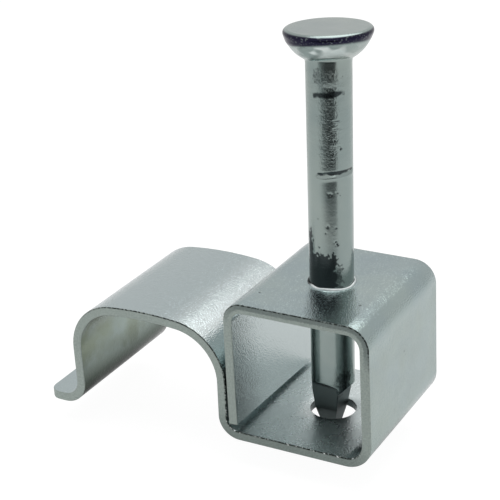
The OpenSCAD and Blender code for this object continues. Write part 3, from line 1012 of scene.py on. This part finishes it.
def dark_surroundings():
    """Felt, grey at the bottom to black upwards and pale at its left end, standing in for the dark
    surroundings.

    The wire mirrors it as a soft dark streak.
    """
    material, tree = new_material("dark_surroundings")
    place = add_node(tree, "ShaderNodeTexCoord").outputs["Object"]
    height = add_node(tree, "ShaderNodeSeparateXYZ", {0: place}).outputs["Z"]
    height = {"Value": height, "From Min": 1 * MM, "From Max": 6 * MM}
    height = add_node(tree, "ShaderNodeMapRange", height).outputs[0]
    colour = {0: height, 6: linear("#787e7f"), 7: linear("#181b1d")}
    colour = add_node(tree, "ShaderNodeMix", colour, data_type="RGBA").outputs[2]
    aside = {0: place, 1: CARD_SIDE}
    aside = add_node(tree, "ShaderNodeVectorMath", aside, operation="DOT_PRODUCT").outputs["Value"]
    aside = {"Value": aside, "From Min": 14 * MM, "From Max": 52 * MM}
    aside = add_node(tree, "ShaderNodeMapRange", aside).outputs[0]
    colour = {0: aside, 6: colour, 7: linear("#c6cccc")}
    colour = add_node(tree, "ShaderNodeMix", colour, data_type="RGBA").outputs[2]
    felt = add_node(tree, "ShaderNodeBsdfDiffuse", {"Color": colour}).outputs[0]
    add_node(tree, "ShaderNodeOutputMaterial", {0: felt})
    return material


def make_sheet(name, material, width, height, matrix):
    """A flat rectangle, placed and turned by the matrix."""
    bm = bmesh.new()
    bmesh.ops.create_grid(bm, x_segments=1, y_segments=1, size=0.5)
    bmesh.ops.scale(bm, vec=(width, height, 1), verts=bm.verts)
    bmesh.ops.transform(bm, matrix=matrix, verts=bm.verts)
    return finish_piece(bm, name, [material])


def make_stage():
    """The floor, and a low dark card on it in front, for the dark streak down the nail."""
    lowest = cad_box[0].z / MM - FLOOR_GAP
    floor_place = Matrix.Translation((0, 0, lowest))
    floor = make_sheet("floor", paper_white(), FLOOR_SIDE, FLOOR_SIDE, floor_place)
    place = CARD_AHEAD * CARD_AWAY + CARD_SIDE * CARD_ASIDE + Vector((0, 0, lowest + CARD_H / 2))
    turn = CARD_AHEAD.to_track_quat("Z", "Y").to_matrix().to_4x4()
    card = make_sheet("dark_card", dark_surroundings(), CARD_W, CARD_H, Matrix.Translation(place) @ turn)
    card.visible_camera = False
    card.visible_shadow = False


def make_world():
    """A white room, which is 1 to the camera, 0.79 in the metal and 0.65 as light."""
    world = bpy.data.worlds.new("studio")
    bpy.context.scene.world = world
    world.use_nodes = True
    tree = world.node_tree
    tree.nodes.clear()
    path = add_node(tree, "ShaderNodeLightPath").outputs
    seen = {0: path["Is Camera Ray"], 1: path["Is Transmission Ray"]}
    seen = add_node(tree, "ShaderNodeMath", seen, operation="MAXIMUM").outputs[0]
    seen = {0: path["Is Glossy Ray"], 1: 0.4, 2: seen}
    seen = add_node(tree, "ShaderNodeMath", seen, operation="MULTIPLY_ADD").outputs[0]
    light = {"Value": seen, "To Min": 0.65, "To Max": 1.0}
    light = add_node(tree, "ShaderNodeMapRange", light).outputs[0]
    sky = add_node(tree, "ShaderNodeBackground", {"Color": linear("#ffffff"), "Strength": light})
    add_node(tree, "ShaderNodeOutputWorld", {0: sky.outputs[0]})


def add_lamp(name, place, target, width, height, watts):
    """A rectangular softbox, placed and sized in millimetres, that faces its target."""
    lamp = bpy.data.lights.new(name, "AREA")
    lamp.shape = "RECTANGLE"
    lamp.size, lamp.size_y = width * MM, height * MM
    lamp.energy = watts
    holder = bpy.data.objects.new(name, lamp)
    bpy.context.scene.collection.objects.link(holder)
    holder.location = Vector(place) * MM
    holder.rotation_mode = "QUATERNION"
    way = Vector(target) - Vector(place)
    holder.rotation_quaternion = way.to_track_quat("-Z", "Y")


# The photograph's camera, as fitted to the picture's outlines: its place in millimetres, the way
# that it looks, the way that is up in the picture, and its lens
CAMERA_PLACE = Vector((38.16, -79.64, 50.92))
CAMERA_WAY = Vector((-0.4466, 0.8020, -0.3967))
CAMERA_UP = Vector((-0.1591, 0.3652, 0.9173))
CAMERA_LENS = 104.06


def make_camera():
    """The photograph's viewing angle, with its slight roll."""
    camera = bpy.data.cameras.new("camera")
    camera.sensor_width = 36
    camera.lens = CAMERA_LENS
    camera.clip_start, camera.clip_end = 0.001, 10
    holder = bpy.data.objects.new("camera", camera)
    bpy.context.scene.collection.objects.link(holder)
    forward = CAMERA_WAY.normalized()
    right = forward.cross(CAMERA_UP).normalized()
    turn = Matrix((right, right.cross(forward), -forward)).transposed().to_4x4()
    holder.matrix_world = Matrix.Translation(CAMERA_PLACE * MM) @ turn
    bpy.context.scene.camera = holder


bpy.context.scene.view_settings.view_transform = "Standard"
make_camera()

strip = make_clip([galvanised_strip(), sheared_edge()])
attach(strip, "root")
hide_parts("clip")

wire = make_nail(bright_zinc_wire())
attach(wire, "root")
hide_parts("nail")

make_stage()
make_world()
add_lamp("overhead_softbox", (0, 28, 150), (0, 28, 0), width=120, height=200, watts=0.145)
